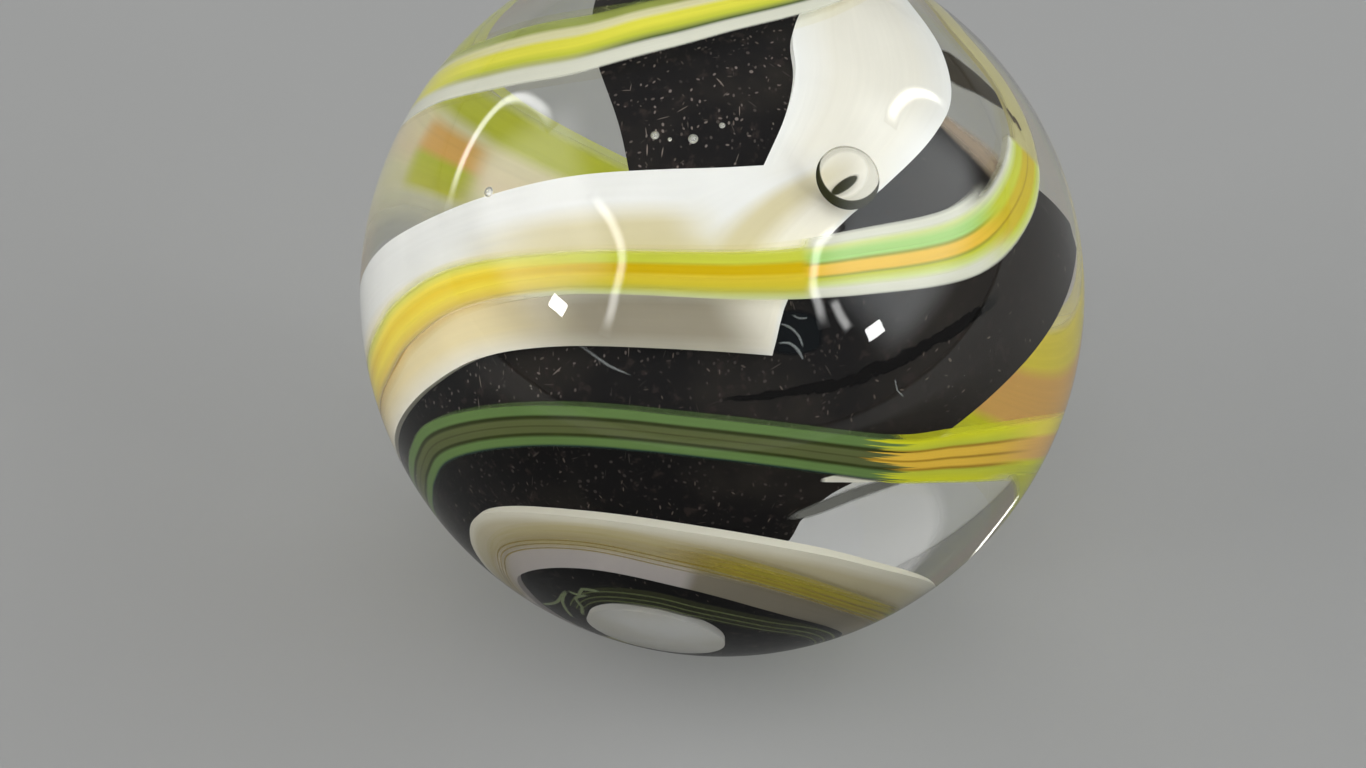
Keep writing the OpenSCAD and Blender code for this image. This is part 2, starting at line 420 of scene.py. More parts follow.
def slope(tree, source, start, end):
    """Rises from 0 to 1 as the source goes from start to end, which may be the lower one."""
    made = node(tree, "ShaderNodeMapRange", interpolation_type="SMOOTHSTEP")
    made.inputs["From Min"].default_value = start
    made.inputs["From Max"].default_value = end
    tree.links.new(source, made.inputs["Value"])
    return made.outputs["Result"]


def faded(tree, place, edge):
    """1 along the middle of a strip, and down to 0 at both ends, over a share of its length."""
    return times(tree, slope(tree, place, 0, edge), slope(tree, place, 1, 1 - edge))


def passed(tree, runs, along, start, end):
    """Rises from 0 to 1 as a ribbon or band goes from one longitude to another."""
    return slope(tree, along, share(runs, start), share(runs, end))


def mix(tree, factor, first, second, blend="MIX"):
    """A mix of two colours."""
    made = node(tree, "ShaderNodeMix", data_type="RGBA", blend_type=blend)
    for value, number in ((factor, 0), (first, 6), (second, 7)):
        if isinstance(value, tuple):
            value = (*value, 1)
        feed(tree, value, made.inputs[number])
    return made.outputs[2]


def blend_values(tree, factor, first, second):
    made = node(tree, "ShaderNodeMix", data_type="FLOAT")
    for value, number in ((factor, 0), (first, 2), (second, 3)):
        feed(tree, value, made.inputs[number])
    return made.outputs[0]


def strip_places(tree):
    """Sockets with the place across a strip, from 0 at its upper edge, and the place along it."""
    uv = node(tree, "ShaderNodeUVMap", uv_map="UVMap")
    parts = node(tree, "ShaderNodeSeparateXYZ")
    tree.links.new(uv.outputs["UV"], parts.inputs[0])
    return parts.outputs["X"], parts.outputs["Y"]


def noise(tree, vector, scale, detail, rough):
    made = node(tree, "ShaderNodeTexNoise")
    made.inputs["Scale"].default_value = scale
    made.inputs["Detail"].default_value = detail
    made.inputs["Roughness"].default_value = rough
    tree.links.new(vector, made.inputs["Vector"])
    return made.outputs["Fac"]


def object_places(tree):
    return node(tree, "ShaderNodeTexCoord").outputs["Object"]


def grain(tree, scale, detail=3.0, rough=0.5):
    """Noise on object coordinates, as a value socket."""
    return noise(tree, object_places(tree), scale, detail, rough)


def drawn_streaks(tree, side, along, fineness, length):
    """Noise drawn out along a strip, as in pulled glass."""
    place = node(tree, "ShaderNodeCombineXYZ")
    feed(tree, times(tree, side, fineness), place.inputs["X"])
    feed(tree, times(tree, along, length), place.inputs["Y"])
    return noise(tree, place.outputs[0], 1.0, 3.0, 0.6)


def flecks(tree, cell, length, width, scarcity):
    """Short fine lines laid at random, as a mask from 0 to 1.

    One flat disc to a cell, turned at random, shows as a line where the surface cuts it. Sizes
    are in millimetres, and scarcity is the share of cells that stay empty.
    """
    places = vector_maths(tree, "MULTIPLY", object_places(tree), (1 / (cell * MM),) * 3)
    cells = node(tree, "ShaderNodeTexVoronoi", feature="F1")
    cells.inputs["Scale"].default_value = 1.0
    tree.links.new(places, cells.inputs["Vector"])
    away = vector_maths(tree, "SUBTRACT", places, cells.outputs["Position"])
    turned = node(tree, "ShaderNodeVectorRotate", rotation_type="EULER_XYZ")
    tree.links.new(away, turned.inputs["Vector"])
    whole_turns = (6.28,) * 3
    angles = vector_maths(tree, "MULTIPLY", cells.outputs["Color"], whole_turns)
    tree.links.new(angles, turned.inputs["Rotation"])
    disc = vector_maths(
        tree, "MULTIPLY", turned.outputs[0], (cell / length, cell / length, cell / width)
    )
    shape = slope(tree, vector_maths(tree, "LENGTH", disc), 1.0, 0.6)
    split = node(tree, "ShaderNodeSeparateColor")
    tree.links.new(cells.outputs["Color"], split.inputs[0])
    return times(tree, shape, slope(tree, split.outputs["Red"], scarcity, 1.0))


def embedded_material(name):
    """A new material for glass inside glass, which has no gloss of its own."""
    material, tree, principled = new_material(name)
    principled.inputs["Roughness"].default_value = 0.7
    principled.inputs["Specular IOR Level"].default_value = 0.0
    return material, tree, principled


def transparent(tree, colour):
    """What lets light straight through, with a colour."""
    clear = node(tree, "ShaderNodeBsdfTransparent")
    clear.inputs["Color"].default_value = (*colour, 1)
    return clear.outputs[0]


def show_mix(tree, factor, first, second):
    """Gives a material's surface a mix of two shaders."""
    choice = node(tree, "ShaderNodeMixShader")
    for value, socket in zip((factor, first, second), choice.inputs):
        feed(tree, value, socket)
    tree.links.new(choice.outputs[0], tree.nodes["Material Output"].inputs["Surface"])


def let_through(tree, principled, opacity, tint=(1.0, 1.0, 1.0)):
    """Mixes a material with tinted clear glass."""
    show_mix(tree, opacity, transparent(tree, tint), principled.outputs[0])


def clear_glass_material(name):
    material, tree, principled = new_material(name)
    principled.inputs["Base Color"].default_value = (0.985, 0.99, 0.98, 1)
    principled.inputs["Transmission Weight"].default_value = 1.0
    principled.inputs["Roughness"].default_value = 0.0
    principled.inputs["IOR"].default_value = GLASS_INDEX
    clear = transparent(tree, (0.95, 0.955, 0.95))
    path = node(tree, "ShaderNodeLightPath")
    show_mix(tree, path.outputs["Is Shadow Ray"], principled.outputs[0], clear)
    return material


def look(*stops):
    """A look across a ribbon or a band, as stops for a ramp.

    A stop is a place from the upper edge or two places between which it holds, a colour and an
    opacity.
    """
    return [
        (place, (*colour, opacity)) for *places, colour, opacity in stops for place in places
    ]


def looks_along(tree, runs, looks, side, along):
    """Colour and opacity that change from one look to the next along a course.

    Each look after the first comes with the longitudes between which it takes over. One with a
    share of the course after it starts in needles, as where two pulled canes were joined.
    """
    colour, opacity = ramp(tree, looks[0], side)
    for start, end, stops, *ragged in looks[1:]:
        next_colour, next_opacity = ramp(tree, stops, side)
        place = along
        if ragged:
            needles = drawn_streaks(tree, side, along, 14.0, 3.0)
            place = maths(tree, "ADD", along, swing(tree, needles, ragged[0]))
        part = passed(tree, runs, place, start, end)
        colour = mix(tree, part, colour, next_colour)
        opacity = blend_values(tree, part, opacity, next_opacity)
    return colour, opacity


def varied(tree, colour, amount, streaks):
    """A colour made a little lighter and darker by a noise socket."""
    shade = node(tree, "ShaderNodeMapRange")
    for value, socket in zip((streaks, 0.3, 0.7, 1 - amount, 1 + amount), shade.inputs):
        feed(tree, value, socket)
    together = node(tree, "ShaderNodeCombineColor")
    for socket in together.inputs:
        tree.links.new(shade.outputs["Result"], socket)
    return mix(tree, 1.0, colour, together.outputs[0], "MULTIPLY")


def white_material():
    material, tree, principled = embedded_material("white_glass")
    side, along = strip_places(tree)
    white, beige, brown = chosen("white", "beige", "brown")
    warm = tone(0.91, 0.895, 0.85)
    corner = tone(0.96, 0.94, 0.88)
    grey = tone(0.76, 0.74, 0.68)
    lavender = tone(0.76, 0.73, 0.72)
    bone = tone(0.95, 0.89, 0.71)
    tower = look((0, white, 1), (0.25, 0.75, warm, 1), (1, white, 1))
    turn = look(
        (0, 0.36, white, 1), (0.48, 0.58, beige, 1), (0.74, 0.95, corner, 1), (1, white, 1),
    )
    # Painted shade: the front goes from white at its upper edge through beige and grey to brown on
    # its lower side.
    front = look(
        (0, 0.17, white, 1), (0.3, 0.42, beige, 1), (0.66, grey, 1), (0.74, 0.9, brown, 1),
        (1, tone(0.68, 0.66, 0.6), 1),
    )
    left_end = look((0, 0.32, white, 1), (0.5, 0.85, bone, 1), (1, corner, 1))
    # Painted light and shade on the lower runs of the ribbon: chalk at the upper edge, then darker
    # browns and greys towards the lower side.
    painted_shade_brown = tone(0.56, 0.53, 0.47)
    chalk, ash = tone(0.90, 0.885, 0.82), tone(0.88, 0.86, 0.79)
    low_right = look(
        (0, chalk, 1), (0.08, ash, 1), (0.2, tone(0.77, 0.735, 0.62), 1),
        (0.5, tone(0.7, 0.66, 0.55), 1), (0.68, 1, painted_shade_brown, 1),
    )
    low_turn = look(
        (0, chalk, 1), (0.07, ash, 1), (0.18, tone(0.79, 0.755, 0.65), 1),
        (0.5, tone(0.74, 0.70, 0.6), 1), (0.62, 1, lavender, 1),
    )
    colour, _ = looks_along(
        tree, WHITE_RUNS,
        [
            tower, (-88, -97, turn), (-100, -112, front), (-128, -152, left_end),
            (-300, -380, low_right), (-444, -450, low_turn),
        ],
        side, along,
    )
    cloud = grain(tree, 420.0, 2.0)
    streaks = drawn_streaks(tree, side, along, 30.0, 14.0)
    colour = varied(tree, varied(tree, colour, 0.025, cloud), 0.02, streaks)
    specks = flecks(tree, 1.6, 0.05, 0.045, 0.55)
    colour = mix(tree, specks, colour, tone(0.45, 0.42, 0.38))
    tree.links.new(colour, principled.inputs["Base Color"])
    return material


def patch_material():
    material, tree, principled = embedded_material("patch_glass")
    [white] = chosen("white")
    warm = tone(0.88, 0.87, 0.83)
    colour, _ = ramp(tree, look((0.35, warm, 1), (0.65, white, 1)), grain(tree, 350.0))
    tree.links.new(colour, principled.inputs["Base Color"])
    return material


def black_material():
    material, tree, principled = embedded_material("black_glass")
    side, along = strip_places(tree)
    [black] = chosen("black")
    charcoal = tone(0.17, 0.155, 0.14)
    cloud = slope(tree, grain(tree, 260.0), 0.42, 0.72)
    colour = mix(tree, cloud, black, charcoal)
    near_end = passed(tree, BLACK_RUNS, along, -80, -50)
    colour = mix(tree, times(tree, near_end, 0.7), colour, charcoal)
    low = passed(tree, BLACK_RUNS, along, -200, -300)
    colour = mix(tree, low, colour, black)
    soot = slope(tree, grain(tree, 2600.0, 3.0, 0.6), 0.56, 0.7)
    colour = mix(tree, times(tree, soot, 0.7), colour, tone(0.2, 0.17, 0.16))
    below = slope(tree, side, 0.4, 0.5)
    tongue = times(
        tree, passed(tree, BLACK_RUNS, along, -78, -90),
        passed(tree, BLACK_RUNS, along, -170, -157),
        maths(tree, "SUBTRACT", 1.0, times(tree, below, 0.75)),
    )
    lint = flecks(tree, 0.36, 0.1, 0.026, 0.3)
    dust = flecks(tree, 0.22, 0.075, 0.04, 0.15)
    hairs = flecks(tree, 0.55, 0.24, 0.018, 0.45)
    colour = mix(tree, times(tree, lint, 0.9), colour, tone(0.4, 0.36, 0.33))
    for fleck, shade in ((dust, tone(0.48, 0.44, 0.42)), (hairs, tone(0.5, 0.46, 0.43))):
        colour = mix(tree, times(tree, fleck, tongue), colour, shade)
    tree.links.new(colour, principled.inputs["Base Color"])
    return material


def band_material(name, band, looks, drifts):
    """Translucent stripes, whose looks run across the whole band on the side that meets the light.

    A drift moves the looks across the band between two longitudes.
    """
    material, tree, principled = embedded_material(name)
    side, along = strip_places(tree)
    side = maths(tree, "ADD", side, swing(tree, grain(tree, 200.0, 2.0), 0.05))
    for start, end, amount in drifts:
        moved = times(tree, passed(tree, [band], along, start, end), amount)
        side = maths(tree, "ADD", side, moved)
    colour, opacity = looks_along(tree, [band], looks, side, along)
    within = node(tree, "ShaderNodeNewGeometry").outputs["Backfacing"]
    opacity = times(tree, opacity, maths(tree, "SUBTRACT", 1.0, within))
    streaks = drawn_streaks(tree, side, along, 30.0, 20.0)
    colour = varied(tree, colour, 0.035, streaks)
    tree.links.new(colour, principled.inputs["Base Color"])
    let_through(tree, principled, opacity, STRIPE_TINT)
    return material


def amber_looks():
    lime, gold, orange, thread = chosen("lime", "gold", "orange", "thread")
    mint = tone(0.82, 0.86, 0.56)
    fresh = tone(0.66, 0.83, 0.48)
    line = tone(0.62, 0.63, 0.22)
    veil = tone(0.74, 0.71, 0.5)
    ochre = tone(0.8, 0.71, 0.18)
    bright = tone(0.98, 0.89, 0.32)
    beige = tone(0.74, 0.70, 0.6)
    umber = tone(0.58, 0.5, 0.22)
    khaki = tone(0.66, 0.61, 0.22)
    start = look((0, 0.2, veil, 0), (0.36, veil, 0.85), (0.9, veil, 0.9), (1, veil, 0))
    upright = look(
        (0, 0.12, thread, 0), (0.19, thread, 0.9), (0.28, mint, 1), (0.36, 0.46, lime, 1),
        (0.53, 0.62, ochre, 1), (0.64, tone(0.7, 0.6, 0.16), 1), (0.67, 0.8, ochre, 1),
        (0.86, lime, 1), (0.96, mint, 0.9), (1, thread, 0.2),
    )
    over_black = look(
        (0, thread, 0.5), (0.05, 0.13, thread, 0.95), (0.2, mint, 1), (0.3, 0.4, fresh, 1),
        (0.44, line, 1), (0.48, 0.62, orange, 1), (0.655, line, 1), (0.69, lime, 1),
        (0.78, mint, 1), (0.86, thread, 1), (0.97, thread, 0.9), (1, thread, 0.4),
    )
    over_white = look(
        (0, 0.08, lime, 0), (0.2, lime, 0.95), (0.34, lime, 1), (0.41, 0.54, gold, 1),
        (0.6, tone(0.86, 0.76, 0.2), 1), (0.76, tone(0.82, 0.75, 0.2), 1),
        (0.86, tone(0.75, 0.73, 0.3), 1), (0.94, tone(0.76, 0.78, 0.5), 1),
        (1, tone(0.78, 0.8, 0.62), 0.9),
    )
    left = look(
        (0, lime, 0), (0.1, lime, 0.3), (0.2, tone(0.9, 0.88, 0.38), 0.9), (0.32, bright, 1),
        (0.44, tone(0.95, 0.82, 0.22), 1), (0.62, bright, 1), (0.8, tone(0.9, 0.79, 0.36), 1),
        (0.88, tone(0.88, 0.8, 0.5), 0.6), (0.94, 1, thread, 0),
    )
    low = look(
        (0, 0.51, umber, 0), (0.56, umber, 1), (0.61, 0.68, umber, 0), (0.73, umber, 1),
        (0.78, 0.88, umber, 0), (0.93, umber, 1), (0.98, umber, 0),
    )
    low_right = look(
        (0, beige, 0), (0.06, khaki, 0.7), (0.12, khaki, 0.2), (0.22, 0.32, khaki, 0.9),
        (0.38, umber, 0.6), (0.46, khaki, 1), (0.56, umber, 1), (0.62, khaki, 0.9),
        (0.7, khaki, 0.3), (0.76, umber, 0.9), (0.84, 1, beige, 0),
    )
    return [
        start, (-31, -31.4, upright), (-41, -51, over_black), (-78.5, -81, over_white),
        (-112, -138, left), (-200, -230, over_black), (-330, -370, low_right), (-425, -462, low),
    ]


def green_looks():
    leaf, olive, lime, thread, orange = chosen("leaf", "olive", "lime", "thread", "orange")
    line = tone(0.2, 0.23, 0.1)
    yellow = tone(0.9, 0.88, 0.3)
    cream = tone(0.88, 0.86, 0.68)
    sage = tone(0.6, 0.64, 0.3)
    deep = tone(0.3, 0.36, 0.16)
    peach = tone(0.92, 0.72, 0.4)
    lemon = tone(0.86, 0.86, 0.16)
    upper_right = look(
        (0, deep, 0.5), (0.08, sage, 0.85), (0.15, sage, 0.9), (0.21, cream, 0.95),
        (0.28, cream, 1), (0.35, 0.45, yellow, 1), (0.56, lime, 1), (0.62, sage, 0.95),
        (0.66, deep, 1), (0.71, 0.86, thread, 1), (0.9, 1, thread, 0),
    )
    upper_left = look(
        (0, sage, 0.1), (0.04, sage, 0.8), (0.15, sage, 0.95), (0.21, cream, 0.95),
        (0.3, cream, 1), (0.37, 0.48, yellow, 1), (0.58, lime, 1),
        (0.65, tone(0.7, 0.71, 0.46), 1), (0.71, 0.86, thread, 1), (0.9, 1, thread, 0),
    )
    left_limb = look(
        (0, lime, 0), (0.06, sage, 0.6), (0.18, cream, 0.9), (0.26, 0.58, yellow, 1),
        (0.68, 0.86, thread, 1), (0.9, 1, thread, 0),
    )
    behind = look(
        (0, lime, 0.3), (0.08, lime, 0.95), (0.22, lime, 1), (0.3, cream, 1),
        (0.38, 0.5, peach, 1), (0.56, lime, 1), (0.72, tone(0.78, 0.78, 0.3), 1),
        (0.8, cream, 0.5), (1, cream, 0),
    )
    behind_pale = look(
        (0, lime, 0.5), (0.06, 0.24, lime, 1), (0.34, tone(0.92, 0.88, 0.7), 1),
        (0.56, tone(0.93, 0.86, 0.7), 1), (0.66, cream, 1), (0.8, cream, 0.6), (1, cream, 0),
    )
    butter = tone(0.95, 0.88, 0.3)
    right = look(
        (0, butter, 0.3), (0.06, 0.24, butter, 1), (0.32, 0.6, peach, 1), (0.68, lemon, 1),
        (0.84, lime, 1), (0.9, 1, lime, 0),
    )
    rust = tone(0.66, 0.5, 0.14)
    right_end = look(
        (0, lemon, 0.5), (0.08, lemon, 1), (0.24, lime, 1), (0.29, rust, 1),
        (0.33, 0.46, orange, 1), (0.5, rust, 1), (0.54, 0.64, orange, 1), (0.69, rust, 1),
        (0.74, lime, 1), (0.94, lemon, 1), (1, lime, 0.4),
    )
    over_black = look(
        (0, leaf, 0.3), (0.05, leaf, 0.95), (0.22, leaf, 1), (0.27, 0.31, line, 0.95),
        (0.36, 0.46, olive, 0.95), (0.49, tone(0.3, 0.32, 0.18), 0.9), (0.52, 0.63, olive, 0.9),
        (0.67, 0.7, line, 0.95), (0.76, 0.9, leaf, 1), (0.96, tone(0.1, 0.18, 0.2), 0.9),
        (1, line, 0.2),
    )
    moss = tone(0.19, 0.2, 0.12)
    faint = tone(0.46, 0.5, 0.33)
    low = look(
        (0, moss, 0), (0.06, moss, 0.8), (0.12, faint, 1), (0.18, 0.42, moss, 0.85),
        (0.48, faint, 1), (0.54, 0.72, moss, 0.85), (0.78, faint, 0.9), (0.84, moss, 0.8),
        (0.94, moss, 0.6), (1, moss, 0),
    )
    return [
        upper_right, (-116, -134, upper_left), (-150, -175, left_limb), (-200, -235, behind),
        (-251, -252.5, behind_pale), (-268, -282, right), (-372, -392, right_end),
        (-414, -418, over_black, 0.05), (-680, -715, low),
    ]


def wisp_material(name, colour, opacity, soft, rough=0.0):
    """A thin cloud of colour in the clear glass, with soft ends and soft or rough edges."""
    material, tree, principled = embedded_material(name)
    principled.inputs["Base Color"].default_value = (*colour, 1)
    side, along = strip_places(tree)
    if rough:
        side = maths(tree, "ADD", side, swing(tree, grain(tree, 1500.0, 4.0, 0.65), rough))
    cloud = slope(tree, drawn_streaks(tree, side, along, 4.0, 3.0), 0.1, 0.5)
    strength = times(tree, faded(tree, side, soft), faded(tree, along, 0.15), cloud, opacity)
    let_through(tree, principled, strength)
    return material


def bubble_skin_material():
    """The big bubble's skin, with painted reflection and shade in place of the light that the
    bubble bends: a dark crescent at its lower left, a dark streak, a grey patch and a grey rim.
    """
    material, tree, principled = embedded_material("bubble_skin")
    lon, lat, depth, width, _ = BIG_BUBBLE
    outward = twist_turn() @ direction(lon, lat)
    place = vector_maths(tree, "SUBTRACT", object_places(tree), tuple(outward * depth * MM))
    place = vector_maths(tree, "MULTIPLY", place, (2 / (width * MM),) * 3)
    front = Vector((0, -1, 1)).normalized()
    aside = (front - outward * front.dot(outward)) / GLASS_INDEX
    sight = outward * math.sqrt(1 - aside.length_squared) + aside
    rightwards = Vector((1, 0, 0)).cross(sight).cross(-sight).normalized()
    upwards = sight.cross(rightwards)
    x = vector_maths(tree, "DOT_PRODUCT", place, tuple(rightwards))
    y = vector_maths(tree, "DOT_PRODUCT", place, tuple(upwards))

    def reach(centre_x, centre_y, angle, length, breadth):
        """Distance from a centre in an oval's own lengths, with the oval turned by an angle."""
        dx, dy = maths(tree, "SUBTRACT", x, centre_x), maths(tree, "SUBTRACT", y, centre_y)
        c, s = math.cos(math.radians(angle)), math.sin(math.radians(angle))
        far = maths(tree, "ADD", times(tree, dx, c), times(tree, dy, s))
        wide = maths(tree, "SUBTRACT", times(tree, dy, c), times(tree, dx, s))
        far, wide = maths(tree, "DIVIDE", far, length), maths(tree, "DIVIDE", wide, breadth)
        squares = maths(tree, "ADD", times(tree, far, far), times(tree, wide, wide))
        return maths(tree, "SQRT", squares)

    # Painted reflection: the dark crescent and the grey rim stand for light that the bubble's
    # surface reflects.
    crescent = slope(tree, reach(0.09, 0.26, 0, 1, 1), 0.9, 0.96)
    streak = slope(tree, reach(-0.1, -0.22, 36, 0.54, 0.16), 1.1, 0.8)
    # Painted shade: grey laid round the bubble's edge, widest on its lower right.
    shade = slope(tree, reach(-0.12, 0.1, 40, 0.78, 0.62), 0.95, 1.15)
    rim = slope(tree, reach(0, 0, 0, 1, 1), 0.9, 0.96)
    soft = maths(tree, "MAXIMUM", times(tree, shade, 0.3), times(tree, rim, 0.6))
    dark = maths(tree, "MAXIMUM", crescent, streak)
    colour = mix(tree, dark, tone(0.62, 0.6, 0.5), tone(0.19, 0.19, 0.1))
    tree.links.new(colour, principled.inputs["Base Color"])
    inner = slope(tree, vector_maths(tree, "DOT_PRODUCT", place, tuple(sight)), 0.05, -0.05)
    let_through(tree, principled, times(tree, maths(tree, "MAXIMUM", dark, soft), inner))
    return material


def spark_material():
    """The skin of a small bubble: clear glass with a little white laid over it as a painted
    highlight, so that it shows as a pale ring with a spark in it.
    """
    material = clear_glass_material("spark")
    tree = material.node_tree
    glass = tree.nodes["Material Output"].inputs["Surface"].links[0].from_socket
    # Painted highlight: white mixed over the glass stands for the light that a small bubble
    # reflects.
    painted_glint = node(tree, "ShaderNodeBsdfDiffuse")
    painted_glint.inputs["Color"].default_value = (*tone(0.95, 0.95, 0.93), 1)
    show_mix(tree, 0.22, glass, painted_glint.outputs[0])
    return material


def cavity(material, lon, lat, depth, width, thickness):
    """An oval bubble, flat towards the ball's surface, with its faces turned inwards."""
    outward = twist_turn() @ direction(lon, lat)
    bpy.ops.mesh.primitive_uv_sphere_add(segments=64, ring_count=32, radius=MM / 2)
    bubble = bpy.context.object
    shape = Matrix.Diagonal((width, width, thickness, 1))
    turn = outward.to_track_quat("Z", "Y").to_matrix().to_4x4()
    bubble.data.transform(Matrix.Translation(outward * depth * MM) @ turn @ shape)
    bubble.data.flip_normals()
    bubble.data.materials.append(material)
    return bubble


def make_stripes(band, looks, drifts, columns, stripes):
    """The stripes of a band, from the name, share of its width, slot and node of each."""
    materials = {}
    for name, span, slot, cad in stripes:
        if slot not in materials:
            materials[slot] = band_material(slot, band, looks, drifts)
        rows = band_rows(band, span, columns)
        piece = curved_sheet(name, rows, STRIPE_TOP, STRIPE_WALL, span)
        piece.visible_shadow = False
        finish_piece(piece, materials[slot], slot, cad)


def make_wisp(name, middle, material, slot, columns, top, wall):
    """A thin strip in the clear glass, from its middle line and the widths along it."""
    piece = curved_sheet(name, band_rows(middle, (0, 1), columns), top, wall)
    finish_piece(piece, material, slot)
    return piece


class MARBLE_OT_clear_glass(bpy.types.Operator):
    """Make the clear ball with its bubbles"""

    bl_idname = "marble.clear_glass"
    bl_label = "Clear glass"

    def execute(self, context):
        deselect_all()
        bpy.ops.mesh.primitive_uv_sphere_add(segments=256, ring_count=128, radius=BALL_RADIUS)
        ball = context.object
        ball.name = "clear_glass_ball"
        ball.data.materials.append(clear_glass_material("clear_glass"))
        spark = spark_material()
        bubbles = [cavity(bubble_skin_material(), *BIG_BUBBLE)]
        bubbles += [cavity(spark, *values) for values in SMALL_BUBBLES]
        deselect_all()
        for bubble in bubbles:
            bubble.select_set(True)
        ball.select_set(True)
        context.view_layer.objects.active = ball
        bpy.ops.object.join()
        bpy.ops.object.shade_smooth()
        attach(ball, BODY)
        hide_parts("clear_glass")
        return {"FINISHED"}


class MARBLE_OT_ribbons(bpy.types.Operator):
    """Make the white and the black ribbon and finish the patch at the pole"""

    bl_idname = "marble.ribbons"
    bl_label = "Ribbons"

    def execute(self, context):
        white = curved_sheet(
            "white_ribbon_glass", [across(row, WHITE_STEPS) for row in course(WHITE_RUNS)],
            WHITE_TOP, WHITE_WALL,
        )
        finish_piece(white, white_material(), "white_glass", "white_ribbon")
        black = curved_sheet(
            "black_ribbon_glass", [across(row, BLACK_STEPS) for row in course(BLACK_RUNS)],
            BLACK_TOP, BLACK_WALL,
        )
        finish_piece(black, black_material(), "black_glass", "black_ribbon")
        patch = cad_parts["pole_patch"]
        patch.data.materials.clear()
        patch.data.materials.append(patch_material())
        return {"FINISHED"}


class MARBLE_OT_amber_band(bpy.types.Operator):
    """Make the stripes of the amber band"""

    bl_idname = "marble.amber_band"
    bl_label = "Amber band"

    def execute(self, context):
        stripes = (
            ("amber_stripe", (0.37, 0.63), "amber_glass", "amber_band_middle"),
            ("lime_stripe_upper", (0.15, 0.37), "lime_glass", "amber_band_green_pair"),
            ("lime_stripe_lower", (0.63, 0.84), "lime_glass", "amber_band_green_pair"),
            ("cream_stripe_upper", (0, 0.15), "cream_glass", "amber_band_white_pair"),
            ("cream_stripe_lower", (0.84, 1), "cream_glass", "amber_band_white_pair"),
        )
        make_stripes(AMBER_BAND, amber_looks(), (), 4, stripes)
        return {"FINISHED"}


class MARBLE_OT_green_band(bpy.types.Operator):
    """Make the stripes of the green band"""

    bl_idname = "marble.green_band"
    bl_label = "Green band"

    def execute(self, context):
        stripes = (
            ("green_stripe_upper", (0, 0.27), "green_glass", "green_band_upper"),
            ("green_stripe_middle", (0.27, 0.72), "yellow_glass", "green_band_middle"),
            ("green_stripe_lower", (0.72, 1), "pale_green_glass", "green_band_lower"),
        )
        drifts = ((-116, -134, -0.1), (-178, -235, 0.1))
        make_stripes(GREEN_BAND, green_looks(), drifts, 6, stripes)
        return {"FINISHED"}


class MARBLE_OT_wisps(bpy.types.Operator):
    """Make the wisps, threads and soot that drift in the clear glass"""

    bl_idname = "marble.wisps"
    bl_label = "Wisps"

    def execute(self, context):
        smoke = wisp_material("smoke", tone(0.24, 0.22, 0.18), 1.6, 0.2)
        brown = wisp_material("brown_wisp", tone(0.6, 0.54, 0.47), 0.9, 0.45)
        grey = wisp_material("grey_wisp", tone(0.46, 0.46, 0.44), 1.2, 0.35)
        pale = wisp_material("pale_wedge", tone(0.9, 0.89, 0.84), 2.0, 0.1)
        patch = wisp_material("dark_patch", tone(0.04, 0.06, 0.07), 2.0, 0.2)
        streak = wisp_material("dark_streak", tone(0.03, 0.025, 0.02), 1.4, 0.3, 1.6)
        scratch = wisp_material("scratch", tone(0.66, 0.68, 0.68), 0.32, 0.5)
        tick = wisp_material("tick", tone(0.3, 0.24, 0.14), 1.5, 0.3)
        thread = wisp_material("thread", tone(0.5, 0.54, 0.4), 1.4, 0.4)
        for name, middle, material, slot in (
            ("smoke_wedge", SMOKE_WEDGE, smoke, "black_glass"),
            ("brown_wisp", BROWN_WISP, brown, "black_glass"),
            ("grey_wisp", GREY_WISP, grey, "black_glass"),
            ("pale_wedge", PALE_WEDGE, pale, "white_glass"),
        ):
            wisp = make_wisp(name, middle, material, slot, 8, WISP_TOP, WISP_WALL)
            wisp.visible_shadow = False
        make_wisp("dark_patch", DARK_PATCH, patch, "black_glass", 8, DARK_TOP, FILM_WALL)
        make_wisp("dark_streak", DARK_STREAK, streak, "black_glass", 8, DARK_TOP, FILM_WALL)
        for name, middles, material, slot, top, wall in (
            ("scratch", SCRATCHES, scratch, "white_glass", SCRATCH_TOP, FILM_WALL),
            ("tick", TICKS, tick, "amber_glass", LINE_TOP, LINE_WALL),
            ("thread", THREADS, thread, "pale_green_glass", LINE_TOP, LINE_WALL),
        ):
            for number, middle in enumerate(middles, 1):
                make_wisp(f"{name}_{number}", middle, material, slot, 4, top, wall)
        return {"FINISHED"}


# Bright rims of the two softboxes, as directions in degrees from +X towards +Y and upwards.
BRIGHT_RIMS = {
    "left_rim_top": [[161, 4], [143, 14], [140, 22], [146, 33], [154, 39]],
    "left_rim_side": [[188, 51], [207, 52], [222, 47], [228, 35], [230, 24]],
    "right_rim_side": [[-24, 50], [-40, 50], [-51, 42], [-53, 34], [-54, 28]],
    "right_rim_low": [[-47, 35], [-47, 29], [-46, 24]],
    "right_rim_top": [[27, 39], [34, 35], [40, 27], [41, 20], [39, 16]],
}

# A rim's distance from the ball and its width, in metres, and how strongly it glows.
RIM_DISTANCE, RIM_WIDTH, RIM_GLOW = 0.58, 0.04, 8.0

# Light of the softboxes, of the small bright squares and from above, and a softbox's soft edge as
# a share of its width.
BOX_LIGHT, SQUARE_LIGHT, FILL_LIGHT = 2.2, 24.0, 2.0
BOX_EDGE = 0.25

# Dark card on the floor in front of the ball.
CARD_PLACE = (0, -0.105, 0.0001 - BALL_RADIUS)
CARD_REACH = 0.13

# Size of the picture and the ball's place and radius in it, in pixels, and the camera's sensor.
PHOTO_SIZE = (1366, 768)
PHOTO_CENTRE = (722, 294.5)
PHOTO_RADIUS = 362.5
SENSOR_WIDTH = 36.0


